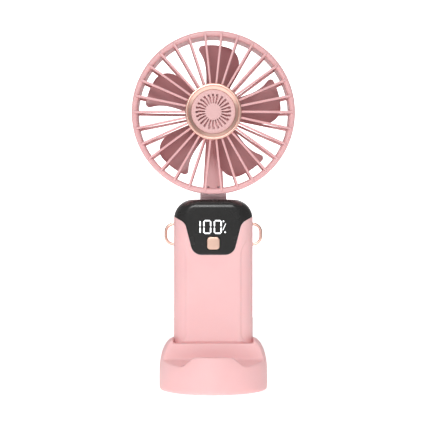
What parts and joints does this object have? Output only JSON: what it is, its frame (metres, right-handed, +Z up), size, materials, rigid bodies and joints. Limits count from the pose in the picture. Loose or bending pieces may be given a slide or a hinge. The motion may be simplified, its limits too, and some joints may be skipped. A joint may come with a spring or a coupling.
{
  "type": "handheld electric fan",
  "caption": "Handheld electric fan with a ribbed round grille, tilting head, digital display, push button and side lanyard rings, standing in a round weighted phone stand.",
  "frame": {"origin": "middle of the stand's underside, on the table", "axes": "+Z up, the grille, display and button face -Y, +X to the right as seen from the front"},
  "size_m": [0.092, 0.061, 0.2028],
  "materials": {
    "shell_plastic": "soft satin pink",
    "stand_plastic": "soft satin pink",
    "inner_plastic": "matt pink",
    "grille_plastic": "satin pink",
    "cap_plastic": "fine matt pink",
    "blade_plastic": "dusty pink, slightly glossy",
    "black_cover": "glossy black",
    "rose_gold": "polished rose-gold plating",
    "rose_gold_satin": "satin rose-gold plating",
    "lit_digits": "lit white",
    "display_block": "white plastic",
    "board_green": "solder mask",
    "chip_black": "moulded black",
    "battery_wrap": "shrink wrap",
    "nickel": "nickel plated",
    "screw_steel": "machined",
    "washer_steel": "blued",
    "weight_steel": "zinc plated",
    "foot_rubber": "soft pink rubber",
    "tube_brass": "turned",
    "core_steel": "laminated",
    "coil_copper": "enamelled copper wire",
    "magnet": "sintered",
    "lead_red": "insulated lead"
  },
  "bodies": {
    "stand": {"stand_shell": "stand_plastic", "stand_bottom_cover": "inner_plastic", "stand_weight": "weight_steel", "stand_feet": "foot_rubber", "stand_screws": "screw_steel"},
    "handle": {"front_shell": "shell_plastic", "rear_shell": "shell_plastic", "display_cover": "black_cover", "display_digits": "lit_digits", "display_module": "display_block", "main_board": "board_green", "board_screws": "screw_steel", "board_parts": "chip_black", "button_switch": "chip_black", "battery": "battery_wrap", "battery_tabs": "nickel", "charge_board": "board_green", "charge_port": "nickel", "shell_screws": "screw_steel", "hinge_pin": "screw_steel", "hinge_washers": "washer_steel"},
    "button": {"button_cap": "rose_gold_satin"},
    "left_lanyard_ring": {"left_ring": "rose_gold"},
    "right_lanyard_ring": {"right_ring": "rose_gold"},
    "head": {"neck_arm": "grille_plastic", "neck_screws": "screw_steel", "rear_rim": "grille_plastic", "rear_ribs": "grille_plastic", "motor_cup": "grille_plastic", "front_rim": "grille_plastic", "front_ribs": "grille_plastic", "hub_seat": "grille_plastic", "hub_ring": "rose_gold", "hub_cap": "cap_plastic", "motor_board": "board_green", "bearing_tube": "tube_brass", "motor_bearings": "tube_brass", "motor_screws": "screw_steel", "stator_core": "core_steel", "stator_coils": "coil_copper", "motor_leads": "lead_red"},
    "rotor": {"impeller": "blade_plastic", "motor_shaft": "screw_steel", "rotor_bell": "core_steel", "magnet_ring": "magnet", "shaft_clip": "screw_steel"}
  },
  "joints": [
    {"name": "handle_lift", "type": "slide", "parent": "stand", "child": "handle", "axis": [0, 0, 1], "range_m": [0, 0.02]},
    {"name": "head_tilt", "type": "hinge", "parent": "handle", "child": "head", "pos_m": [0, 0.0064, 0.0995], "axis": [-1, 0, 0], "range_deg": [0, 90]},
    {"name": "fan_spin", "type": "hinge", "parent": "head", "child": "rotor", "pos_m": [0, 0.003, 0.1568], "axis": [0, -1, 0], "continuous": true},
    {"name": "button_press", "type": "slide", "parent": "handle", "child": "button", "axis": [0, 1, 0], "range_m": [0, 0.0006], "stiffness_N_per_m": 800},
    {"name": "left_ring_swing", "type": "hinge", "parent": "handle", "child": "left_lanyard_ring", "pos_m": [-0.0196, 0.0036, 0.08815], "axis": [0, 0, 1], "range_deg": [-30, 30]},
    {"name": "right_ring_swing", "type": "hinge", "parent": "handle", "child": "right_lanyard_ring", "pos_m": [0.0196, 0.0036, 0.08815], "axis": [0, 0, 1], "range_deg": [-30, 30]}
  ]
}
